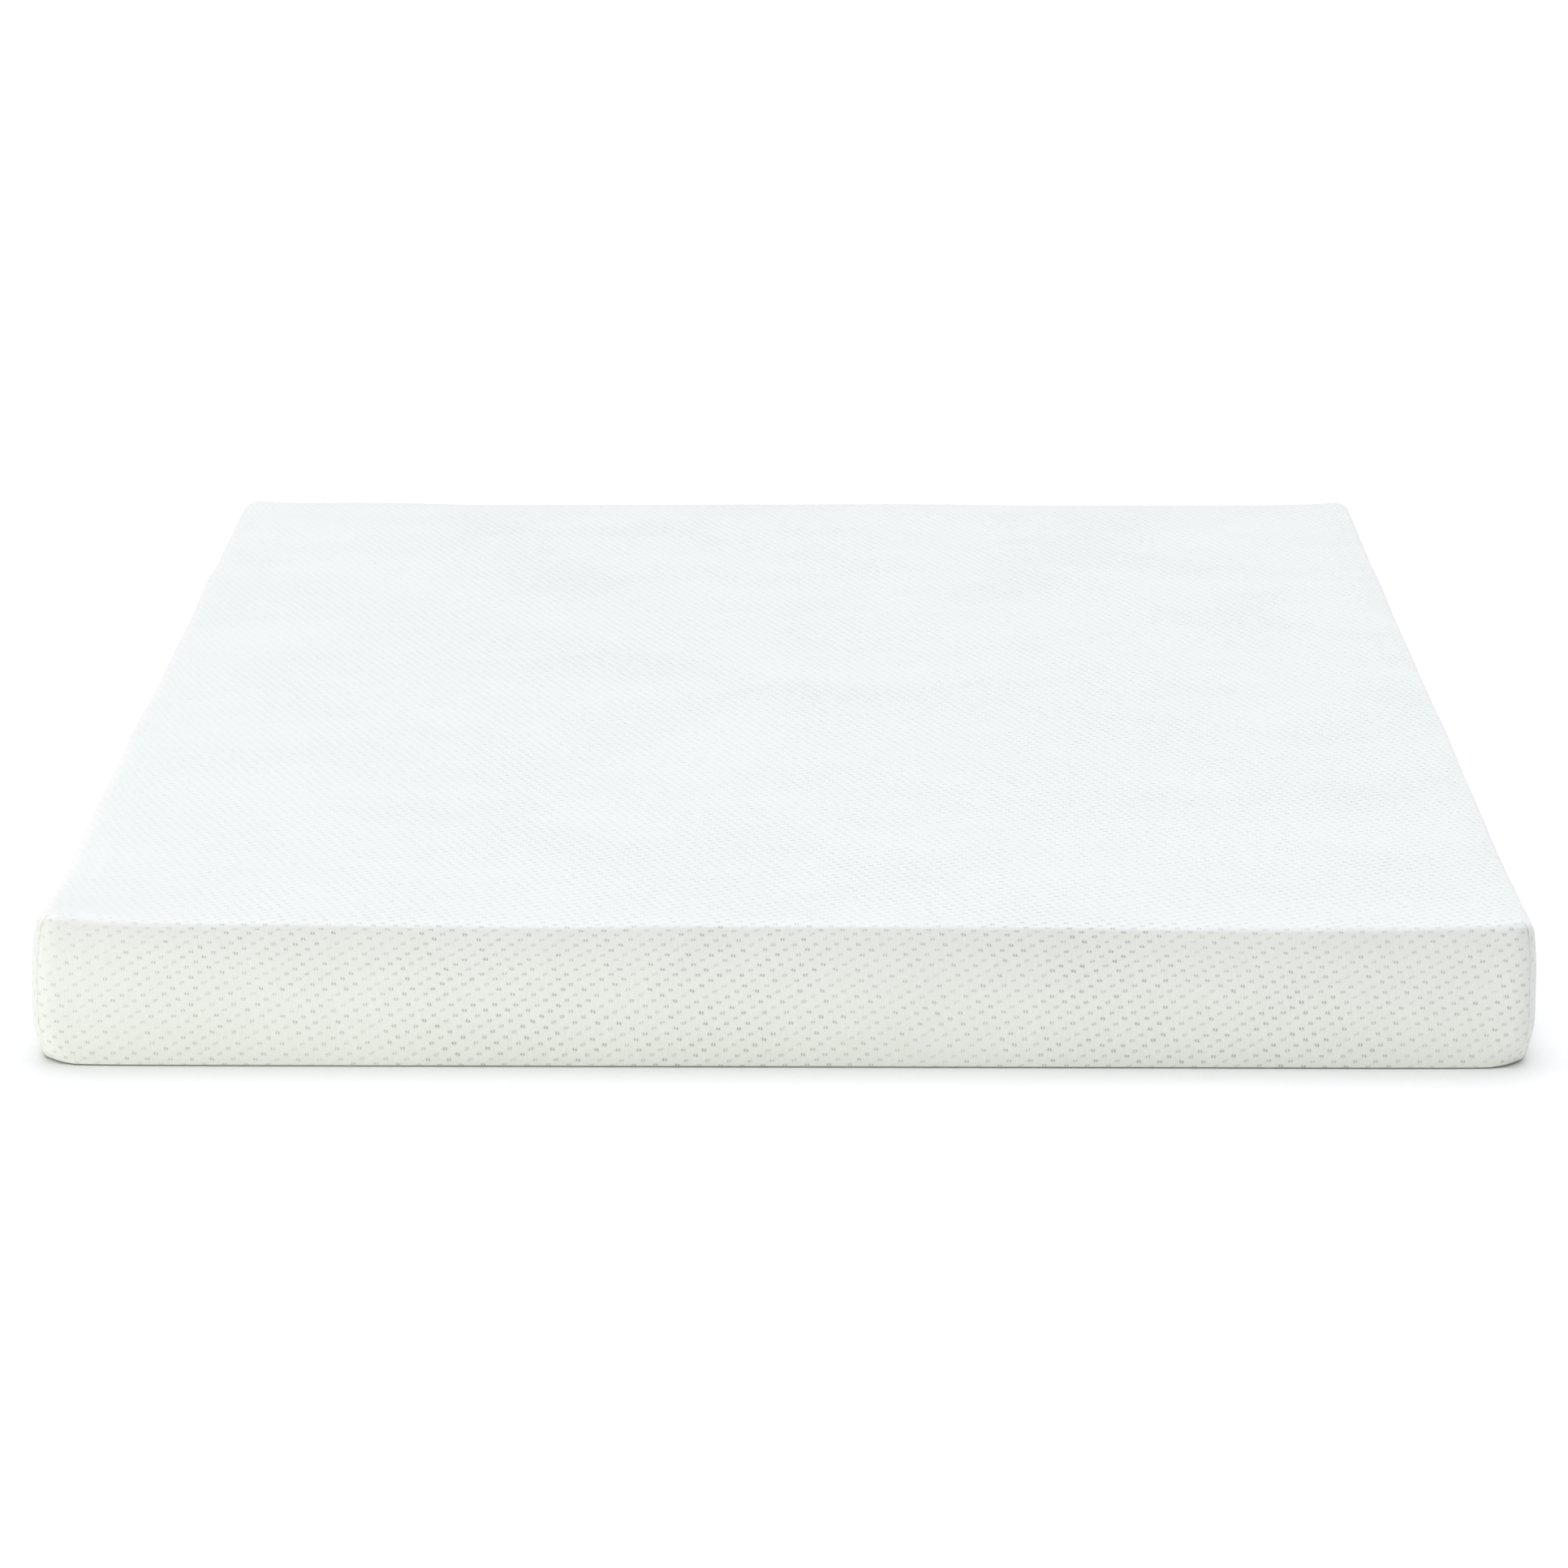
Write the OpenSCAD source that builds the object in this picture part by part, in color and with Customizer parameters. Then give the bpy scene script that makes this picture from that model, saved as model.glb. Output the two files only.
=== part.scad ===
// Memory foam mattress: a glued three-layer foam core in a fire-barrier sleeve,
// inside a zipped knit cover. Millimetres. Origin at the middle of the underside,
// +X to the right, +Y to the rear end (the end with the zip), +Z up.

/* [Mattress] */
// Width, left to right
mattress_w = 1524; // [1370:1:1930]
// Length, front to rear
mattress_l = 2032; // [1880:1:2134]
// Thickness, floor to sleeping surface
mattress_h = 152; // [145:1:200]
// Radius of the upright corners in plan
corner_r = 25; // [20:1:35]
// Radius of the top edge
top_edge_r = 9; // [6:1:12]
// Radius of the bottom edge
bottom_edge_r = 6; // [5:1:7]
// Radius to which the cover draws in each bottom corner
draw_in_r = 37; // [30:1:42]

/* [Foam core] */
// Thickness of the firm base foam
base_foam_t = 70; // [60:1:80]
// Thickness of the transition foam
comfort_foam_t = 25; // [15:1:30]
// Thickness of each film of adhesive
adhesive_t = 0.4; // [0.2:0.1:0.8]
// Radius of the core's bottom edge
core_edge_r = 12; // [12:1:14]
// Thickness of the barrier sleeve's knit
sock_t = 1.2; // [0.8:0.1:1.4]
// Height of the seams that close the sleeve's ends
sock_seam_h = 3; // [2:0.5:5]

/* [Cover] */
// Thickness of the cover's fabric
cover_t = 3; // [2.5:0.1:3.2]
// Width of the overlocked seam allowance inside the bottom edge
bottom_seam_w = 2.4; // [1.5:0.1:2.6]
// Height of the overlocked seam allowance
bottom_seam_h = 1.5; // [1:0.1:1.6]
// Radius of the thread line in the upright corners
corner_seam_r = 1; // [0.6:0.1:1.4]

/* [Zip] */
// Distance from each side of the mattress to the end of the coils
zip_margin = 62; // [60:1:150]
// Height of the zip's centre line above the floor
zip_z = 34; // [32:1:40]
// Height of the slot in the fabric that shows the zip
zip_slot_h = 13; // [12:0.5:15]
// Width of each tape
tape_w = 15; // [13:0.5:16]
// Thickness of each tape
tape_t = 0.5; // [0.3:0.1:0.6]
// Depth of the coils
coil_t = 2.2; // [1.8:0.1:2.4]
// Width of each coil
coil_w = 2.4; // [2:0.1:2.6]
// Gap between the two coils, where the slider's post runs
coil_gap = 1.6; // [1.4:0.1:2]
// Length of the slider
slider_l = 12; // [10:0.5:16]
// Length of the pull tab from its pivot
pull_l = 26; // [20:1:32]
// Width of the pull tab
pull_w = 7; // [6:0.5:8]

/* [Labels] */
// Width of the law label
law_label_w = 92; // [60:1:110]
// Drop of the law label
law_label_h = 64; // [50:1:70]
// Centre of the law label on the rear wall
law_label_x = -430; // [-560:1:-300]
// Width of the care label
care_label_w = 34; // [25:1:45]
// Drop of the care label
care_label_h = 42; // [30:1:60]
// Centre of the care label on the rear wall
care_label_x = -340; // [-360:1:-320]
// Height of the line that both labels hang from
label_top_z = 124; // [110:1:128]
// Thickness of the labels
label_t = 0.4; // [0.2:0.1:0.5]

/* [Hidden] */

$fn = 48;
// Margin by which cutting solids pass the faces they cut
over = 1;
// Running clearance between pieces that move against each other
clear = 0.3;

// Insets from the outer surface at which one layer ends and the next begins
inner_cover = cover_t;
inner_sock = cover_t + sock_t;
rear_y = mattress_l / 2;

// Heights of the foam layers
base_top_z = inner_sock + base_foam_t;
comfort_z = base_top_z + adhesive_t;
comfort_top_z = comfort_z + comfort_foam_t;
memory_z = comfort_top_z + adhesive_t;

// Sleeve seams: their share of the height, and their distance from each side
sock_seam_share = 0.62;
sock_seam_margin = 80;
sock_seam_z = mattress_h * sock_seam_share;
sock_seam_l = mattress_w - 2 * sock_seam_margin;

// Seam allowance: its height above the panel, how far in it clears the curve of
// the wall, and the height that the core leaves free for it in the drawn-in corners
bottom_seam_lift = 0.8;
cavity_r = bottom_edge_r - inner_cover;
bottom_seam_inset = bottom_edge_r + clear
    - sqrt(bottom_seam_lift * (2 * cavity_r - bottom_seam_lift));
seam_room = bottom_seam_lift + bottom_seam_h + clear;

// Corner thread: the share of its radius sunk in the fabric, and where it stops
// below the curve of the top edge
corner_seam_sink = corner_seam_r * 0.6;
corner_seam_top_z = mattress_h - top_edge_r - 2;

// Zip, counted inwards from the rear wall: lug, front plate, coils, tape, back plate
zip_l = mattress_w - 2 * zip_margin;
pull_bar_r = 0.7;
bore_r = pull_bar_r + 0.1;
lug_h = 2.8;
plate_t = 0.9;
lug_recess = 0.4;
lug_top_y = rear_y - lug_recess;
front_plate_y = lug_top_y - lug_h - plate_t;
coil_y = front_plate_y - clear - coil_t;
tape_y = coil_y - tape_t;
back_plate_y = tape_y - clear - plate_t;
groove_y = back_plate_y - clear;
pivot_y = front_plate_y + plate_t + lug_h / 2;
hem_t = 3;
slot_past_zip = 18;
tape_past_slot = 12;
groove_clear_l = 4;
groove_clear_h = 1.5;
slot_l = zip_l + 2 * slot_past_zip;
tape_l = slot_l + 2 * tape_past_slot;
groove_l = tape_l + 2 * groove_clear_l;
groove_h = coil_gap + 2 * tape_w + 2 * groove_clear_h;
stop_l = 5;
coil_crown_r = 0.8;
bartack_l = 2.5;
bartack_inset = 1;
bartack_h = zip_slot_h - 2 * bartack_inset;
bartack_past_zip = 4;
stitch_r = 0.4;
stitch_from_slot = 1.8;

// Slider, at rest against the stop at the +X end
flange_t = 1;
flange_gap = 0.4;
slider_half_w = coil_gap / 2 + coil_w + flange_gap + flange_t;
slider_stop_gap = 0.5;
slider_x = zip_l / 2 - stop_l - slider_stop_gap - slider_l / 2;
post_l = 3;
post_nose_gap = 1;
lug_w = 2.4;
lug_l = 5;
pull_t = 1.1;
pull_window_gap = 3;
pull_hole_share = 0.45;

// Labels
label_y = rear_y + clear;
label_stitch_h = 3;
label_stitch_t = 1;
label_stitch_lift = 0.7;

module rounded_profile(w, z0, z1, r_low, r_high) {
    // An upright section: w wide, from z0 to z1, with its own radius below and above
    union() {
        translate([-w / 2, z0 + r_low]) square([w, z1 - z0 - r_low - r_high]);
        translate([-w / 2 + r_low, z0]) square([w - 2 * r_low, r_low + over]);
        translate([-w / 2 + r_high, z1 - r_high - over])
            square([w - 2 * r_high, r_high + over]);
        for (side = [-1, 1]) {
            translate([side * (w / 2 - r_low), z0 + r_low]) circle(r_low);
            translate([side * (w / 2 - r_high), z1 - r_high]) circle(r_high);
        }
    }
}

module rounded_plan(w, l, r) {
    union() {
        square([w - 2 * r, l], center = true);
        square([w, l - 2 * r], center = true);
        for (x = [-1, 1], y = [-1, 1])
            translate([x * (w / 2 - r), y * (l / 2 - r)]) circle(r);
    }
}

module at_corner(x, y) {
    // The upright corner's arc centre, with local +X pointing out along the diagonal
    translate([x * (mattress_w / 2 - corner_r), y * (mattress_l / 2 - corner_r), 0])
        rotate([0, 0, atan2(y, x)]) children();
}

module corner_draw_in(inset) {
    // What is cut from under one corner: everything outside a level cylinder
    span = 4 * corner_r + 6 * draw_in_r;
    difference() {
        translate([corner_r - draw_in_r, -span / 2, -over])
            cube([draw_in_r + corner_r, span, draw_in_r + over]);
        translate([corner_r - draw_in_r, 0, draw_in_r]) rotate([90, 0, 0])
            cylinder(r = draw_in_r - inset, h = span + 2 * over, center = true);
    }
}

module block(inset, low_r, corner_inset) {
    // The mattress's outer form moved in by inset on every side
    w = mattress_w - 2 * inset;
    l = mattress_l - 2 * inset;
    high_r = top_edge_r - inset;
    difference() {
        intersection() {
            linear_extrude(mattress_h) rounded_plan(w, l, corner_r - inset);
            rotate([90, 0, 0]) linear_extrude(mattress_l + over, center = true)
                rounded_profile(w, inset, mattress_h - inset, low_r, high_r);
            rotate([90, 0, 90]) linear_extrude(mattress_w + over, center = true)
                rounded_profile(l, inset, mattress_h - inset, low_r, high_r);
        }
        for (x = [-1, 1], y = [-1, 1]) at_corner(x, y) corner_draw_in(corner_inset);
    }
}

module slab(z0, z1) {
    translate([-mattress_w, -mattress_l, z0])
        cube([2 * mattress_w, 2 * mattress_l, z1 - z0]);
}

module zip_groove(grow) {
    // Where the zip presses into the rear of the core
    translate([-groove_l / 2 - grow, groove_y - grow, zip_z - groove_h / 2 - grow])
        cube([groove_l + 2 * grow, mattress_l, groove_h + 2 * grow]);
}

module core(inset) {
    // Sleeve and foam: fuller curves below, to leave room for the bottom seam
    difference() {
        block(inset, core_edge_r - (inset - inner_cover), inset + seam_room);
        zip_groove(inset - inner_cover);
    }
}

module cavity() {
    block(inner_cover, cavity_r, inner_cover);
}

module foam_slice(z0, z1) {
    intersection() {
        core(inner_sock);
        slab(z0, z1);
    }
}

module memory_foam_layer() {
    color("LightCyan") foam_slice(memory_z, mattress_h - inner_sock);
}

module adhesive_upper() {
    color("Khaki") foam_slice(comfort_top_z, memory_z);
}

module comfort_foam_layer() {
    color("Ivory") foam_slice(comfort_z, comfort_top_z);
}

module adhesive_lower() {
    color("Khaki") foam_slice(base_top_z, comfort_z);
}

module base_foam_layer() {
    color("WhiteSmoke") foam_slice(inner_sock, base_top_z);
}

module sock_seam_bar(side, grow) {
    // side is -1 at the front and 1 at the rear
    outer_y = rear_y - inner_cover + grow;
    inner_y = rear_y - inner_sock - grow;
    translate([-sock_seam_l / 2, side > 0 ? inner_y : -outer_y,
        sock_seam_z - sock_seam_h / 2])
        cube([sock_seam_l, outer_y - inner_y, sock_seam_h]);
}

module barrier_sock() {
    color("Gainsboro") difference() {
        core(inner_cover);
        core(inner_sock);
        for (side = [-1, 1]) sock_seam_bar(side, over);
    }
}

module sock_seam_front() { color("White") sock_seam_bar(-1, 0); }

module sock_seam_rear() { color("White") sock_seam_bar(1, 0); }

module rear_box(z0, z1) {
    // The part of the rear wall, zip slot wide, between two heights
    translate([-slot_l / 2, rear_y - inner_cover - over, z0])
        cube([slot_l, inner_cover + 2 * over, z1 - z0]);
}

module slot_hem(side) {
    // The turned-in edge of the fabric above (1) or below (-1) the zip
    edge_z = zip_z + side * zip_slot_h / 2;
    translate([-slot_l / 2, coil_y, side > 0 ? edge_z : edge_z - hem_t])
        cube([slot_l, rear_y - inner_cover - coil_y, hem_t]);
}

module slot_end_hem(side) {
    // The same turned-in edge at the left (-1) and right (1) end of the slot
    near_x = side * (slot_l + hem_t) / 2;
    translate([near_x - hem_t / 2, coil_y, zip_z - zip_slot_h / 2 - hem_t])
        cube([hem_t, rear_y - inner_cover - coil_y, zip_slot_h + 2 * hem_t]);
}

module zip_stitch_line(side) {
    stitch_z = zip_z + side * (zip_slot_h / 2 + stitch_from_slot);
    translate([0, rear_y, stitch_z]) rotate([0, 90, 0])
        cylinder(r = stitch_r, h = slot_l - 2 * hem_t, center = true);
}

module corner_thread(x, y) {
    // A thread line up the corner, from the drawn-in part to the top edge
    at_corner(x, y) translate([corner_r - corner_seam_sink, 0, draw_in_r])
        cylinder(r = corner_seam_r, h = corner_seam_top_z - draw_in_r);
}

module cover_cap() {
    color("WhiteSmoke") difference() {
        union() {
            difference() {
                block(0, bottom_edge_r, 0);
                cavity();
                slab(-over, cover_t);
                rear_box(0, zip_z + zip_slot_h / 2);
            }
            slot_hem(1);
            for (side = [-1, 1]) slot_end_hem(side);
        }
        zip_stitch_line(1);
        for (x = [-1, 1], y = [-1, 1]) corner_thread(x, y);
    }
}

module corner_seam_front_left() { color("Silver") corner_thread(-1, -1); }

module corner_seam_front_right() { color("Silver") corner_thread(1, -1); }

module corner_seam_rear_left() { color("Silver") corner_thread(-1, 1); }

module corner_seam_rear_right() { color("Silver") corner_thread(1, 1); }

module cover_rear_strip() {
    color("Beige") difference() {
        union() {
            intersection() {
                difference() {
                    block(0, bottom_edge_r, 0);
                    cavity();
                }
                rear_box(cover_t, zip_z - zip_slot_h / 2);
            }
            slot_hem(-1);
        }
        zip_stitch_line(-1);
    }
}

module cover_bottom_panel() {
    color("LightGray") intersection() {
        block(0, bottom_edge_r, 0);
        slab(0, cover_t);
    }
}

module seam_outline(inset, draw_in) {
    // The mattress's plan moved in by inset, with its corners cut off square to the
    // diagonal at the distance draw_in from the corner's outermost point
    reach = 3 * draw_in_r;
    difference() {
        square([mattress_w - 2 * inset, mattress_l - 2 * inset], center = true);
        for (x = [-1, 1], y = [-1, 1]) at_corner(x, y)
            translate([corner_r - draw_in, -reach]) square([reach, 2 * reach]);
    }
}

module bottom_seam() {
    color("White") translate([0, 0, inner_cover + bottom_seam_lift])
        linear_extrude(bottom_seam_h) difference() {
            seam_outline(bottom_seam_inset, draw_in_r - bottom_seam_w);
            seam_outline(bottom_seam_inset + bottom_seam_w, draw_in_r);
        }
}

module zip_tape(side) {
    near_z = zip_z + side * coil_gap / 2;
    translate([-tape_l / 2, tape_y, side > 0 ? near_z : near_z - tape_w])
        cube([tape_l, tape_t, tape_w]);
}

module zip_coil(side) {
    // A coil as a bar whose outer side is rounded
    coil_l = zip_l - 2 * stop_l;
    flat_w = coil_w - 2 * coil_crown_r;
    translate([0, coil_y, zip_z + side * (coil_gap + coil_w) / 2])
        rotate([90, 0, 90]) linear_extrude(coil_l, center = true) union() {
            translate([0, -coil_w / 2]) square([coil_t - coil_crown_r, coil_w]);
            translate([0, -flat_w / 2]) square([coil_t, flat_w]);
            for (v = [-1, 1])
                translate([coil_t - coil_crown_r, v * flat_w / 2]) circle(coil_crown_r);
        }
}

module zip_stop(side) {
    // A crimped clip over the ends of both coils
    stop_h = coil_gap + 2 * coil_w;
    translate([side * (zip_l - stop_l) / 2, coil_y + coil_t / 2, zip_z])
        cube([stop_l, coil_t, stop_h], center = true);
}

module zip_tape_upper() { color("WhiteSmoke") zip_tape(1); }

module zip_tape_lower() { color("WhiteSmoke") zip_tape(-1); }

module zip_coil_upper() { color("Snow") zip_coil(1); }

module zip_coil_lower() { color("Snow") zip_coil(-1); }

module zip_stop_left() { color("Silver") zip_stop(-1); }

module zip_stop_right() { color("Silver") zip_stop(1); }

module zip_bartacks() {
    // Dense stitches across both tapes, just outside the stops
    color("White") for (side = [-1, 1])
        translate([side * (zip_l / 2 + bartack_past_zip), coil_y + tape_t, zip_z])
            cube([bartack_l, 2 * tape_t, bartack_h], center = true);
}

module zip_stitching_upper() { color("White") zip_stitch_line(1); }

module zip_stitching_lower() { color("White") zip_stitch_line(-1); }

module slider_plate(y, half_w) {
    // A boat-shaped plate, rounded at the nose that leads when the zip closes
    translate([slider_x, y + plate_t, zip_z]) rotate([90, 0, 0])
        linear_extrude(plate_t) union() {
            translate([-slider_l / 2, -half_w]) square([slider_l - half_w, 2 * half_w]);
            translate([slider_l / 2 - half_w, 0]) circle(half_w);
        }
}

module zip_slider() {
    post_t = coil_gap - 2 * clear;
    flange_y = tape_y + tape_t + clear;
    flange_l = slider_l - slider_half_w;
    color("DarkGray") difference() {
        union() {
            slider_plate(front_plate_y, slider_half_w);
            slider_plate(back_plate_y, slider_half_w);
            translate([slider_x + slider_l / 2 - post_l - post_nose_gap,
                back_plate_y + plate_t, zip_z - post_t / 2])
                cube([post_l, front_plate_y - back_plate_y - plate_t, post_t]);
            for (side = [-1, 1])
                translate([slider_x - slider_l / 2, flange_y,
                    zip_z + (side > 0 ? slider_half_w - flange_t : -slider_half_w)])
                    cube([flange_l, front_plate_y - flange_y, flange_t]);
            translate([slider_x, pivot_y, zip_z]) {
                cylinder(r = lug_h / 2, h = lug_w, center = true);
                translate([-lug_l / 2, -lug_h / 2, -lug_w / 2])
                    cube([lug_l, lug_h / 2, lug_w]);
            }
        }
        translate([slider_x, pivot_y, zip_z])
            cylinder(r = bore_r, h = lug_w + 2 * over, center = true);
    }
}

module zip_pull() {
    arm_z = lug_w / 2 + clear;
    window_l = lug_l + pull_window_gap;
    tip_r = pull_w / 2;
    color("Silver") translate([slider_x, pivot_y, zip_z]) {
        // Cross bar through the lug
        cylinder(r = pull_bar_r, h = 2 * arm_z + over, center = true);
        difference() {
            union() {
                rotate([90, 0, 0]) linear_extrude(pull_t, center = true) union() {
                    translate([tip_r - pull_l, 0]) circle(tip_r);
                    translate([tip_r - pull_l, -tip_r]) square([pull_l - tip_r, pull_w]);
                }
                cylinder(r = pull_t / 2, h = pull_w, center = true);
            }
            // Window that clears the lug
            translate([-window_l, -pull_t, -arm_z])
                cube([window_l + pull_t, 2 * pull_t, 2 * arm_z]);
            // Hole near the tip
            translate([tip_r - pull_l, 0, 0]) rotate([90, 0, 0])
                cylinder(r = tip_r * pull_hole_share, h = 2 * pull_t, center = true);
        }
    }
}

module hanging_label(x, w, drop) {
    // A flap that swings about its rounded top edge
    translate([x, label_y, label_top_z - drop]) {
        translate([-w / 2, 0, 0]) cube([w, label_t, drop]);
        translate([0, label_t / 2, drop]) rotate([0, 90, 0])
            cylinder(r = label_t / 2, h = w, center = true);
    }
}

module label_stitching(x, w) {
    // Close stitches over the label's top edge
    translate([x - w / 2, rear_y, label_top_z + label_stitch_lift])
        cube([w, label_stitch_t, label_stitch_h]);
}

module law_label() {
    color("White") hanging_label(law_label_x, law_label_w, law_label_h);
}

module law_label_stitching() {
    color("White") label_stitching(law_label_x, law_label_w);
}

module care_label() {
    color("White") hanging_label(care_label_x, care_label_w, care_label_h);
}

module care_label_stitching() {
    color("White") label_stitching(care_label_x, care_label_w);
}

memory_foam_layer();
adhesive_upper();
comfort_foam_layer();
adhesive_lower();
base_foam_layer();
barrier_sock();
sock_seam_front();
sock_seam_rear();
cover_cap();
corner_seam_front_left();
corner_seam_front_right();
corner_seam_rear_left();
corner_seam_rear_right();
cover_rear_strip();
cover_bottom_panel();
bottom_seam();
zip_tape_upper();
zip_tape_lower();
zip_coil_upper();
zip_coil_lower();
zip_stop_left();
zip_stop_right();
zip_bartacks();
zip_stitching_upper();
zip_stitching_lower();
zip_slider();
zip_pull();
law_label();
law_label_stitching();
care_label();
care_label_stitching();
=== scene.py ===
import math

import bmesh
import bpy
import numpy as np
from mathutils import Matrix, Vector
from mathutils.bvhtree import BVHTree


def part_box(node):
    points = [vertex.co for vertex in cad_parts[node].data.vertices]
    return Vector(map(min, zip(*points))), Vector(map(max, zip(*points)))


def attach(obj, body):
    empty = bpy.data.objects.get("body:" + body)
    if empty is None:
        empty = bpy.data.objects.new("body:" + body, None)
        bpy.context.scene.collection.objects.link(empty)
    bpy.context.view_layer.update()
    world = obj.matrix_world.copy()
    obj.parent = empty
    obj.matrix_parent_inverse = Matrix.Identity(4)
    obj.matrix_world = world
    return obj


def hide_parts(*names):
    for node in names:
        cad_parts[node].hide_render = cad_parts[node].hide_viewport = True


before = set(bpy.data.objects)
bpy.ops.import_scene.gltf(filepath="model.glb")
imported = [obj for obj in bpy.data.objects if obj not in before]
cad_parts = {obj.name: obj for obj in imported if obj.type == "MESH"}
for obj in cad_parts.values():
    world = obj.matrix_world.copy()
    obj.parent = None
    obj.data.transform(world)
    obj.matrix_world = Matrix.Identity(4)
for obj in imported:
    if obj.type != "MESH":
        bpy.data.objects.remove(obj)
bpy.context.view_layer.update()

scene = bpy.context.scene

# ---------------------------------------------------------------- dimensions
_, cap_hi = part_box("cover_cap")
HALF_W, HALF_L, HEIGHT = cap_hi  # half width, half length, top
PLAN_R = 0.027  # radius of the upright corners
TOP_R = 0.009  # radius of the top edge
LOW_R = 0.003  # radius of the bottom edge
OPEN_R = 0.029  # what the upright corners gain at the floor, where they are drawn in
OPEN_H = 0.027  # height of the drawn-in part
FABRIC_T = 0.0022  # thickness of the cover's knit
SEAM_IN = 0.0019  # how far the corner seams draw the knit in
FULLEST = 0.058  # height of the walls' fullest line
CORE_IN = 0.0045  # how far the foam stands inside the cover's faces
SLEEVE_IN = 0.0032  # how far the sleeve stands inside them
SLEEVE_T = 0.001  # its thickness
LABEL_T = 0.00028  # thickness of the labels' cloth
SETTLE_FRAMES = 20

strip_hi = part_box("cover_rear_strip")[1]
upper_row, lower_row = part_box("zip_stitching_upper"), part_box("zip_stitching_lower")
SLOT_X = strip_hi.x  # half length of the zip's slot
SLOT_LOW = strip_hi.z  # its lower edge
ZIP_Z = (upper_row[1].z + lower_row[0].z) / 2
SLOT_TOP = 2 * ZIP_Z - SLOT_LOW
# the recess in the core's rear wall that the zip lies in
RECESS_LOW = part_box("zip_tape_lower")[0].z - 0.0015
RECESS_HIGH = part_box("zip_tape_upper")[1].z + 0.0015
RECESS_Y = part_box("zip_slider")[0].y - 0.0003

ARC = [45, 42.6, 36, 25, 12.5]  # columns of an upright corner, degrees off the wall's
CELL = 0.026  # size of the level grid's squares
EDGE = 0.0015  # supporting lines beside the slot's edges
TOP_ROW = 1.177  # rows of the knit lie closer on the slack top than on the walls


def spaced(half, outer=()):
    """Grid lines across the straight part of a side, evenly spaced inside the outer ones."""
    n = round(2 * half / CELL)
    lines = [-half + 2 * half * i / n for i in range(n + 1)]
    return [-q for q in reversed(outer)] + lines + list(outer)


XS = spaced(SLOT_X - EDGE, (SLOT_X, SLOT_X + EDGE, HALF_W - PLAN_R))
YS = spaced(HALF_L - PLAN_R)
K = len(ARC)  # lines of the level grid in each of its corners

# ---------------------------------------------------------------- the form


def smooth(t):
    t = np.clip(t, 0, 1)
    return t * t * (3 - 2 * t)


def wall_inset(z):
    """How far the wall has come in from its fullest line, above and below it."""
    high = np.clip((z - FULLEST) / 0.085, 0, 1.12) ** 3.3
    low = np.clip((FULLEST - z) / FULLEST, 0, 1) ** 3
    return high, low


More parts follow.
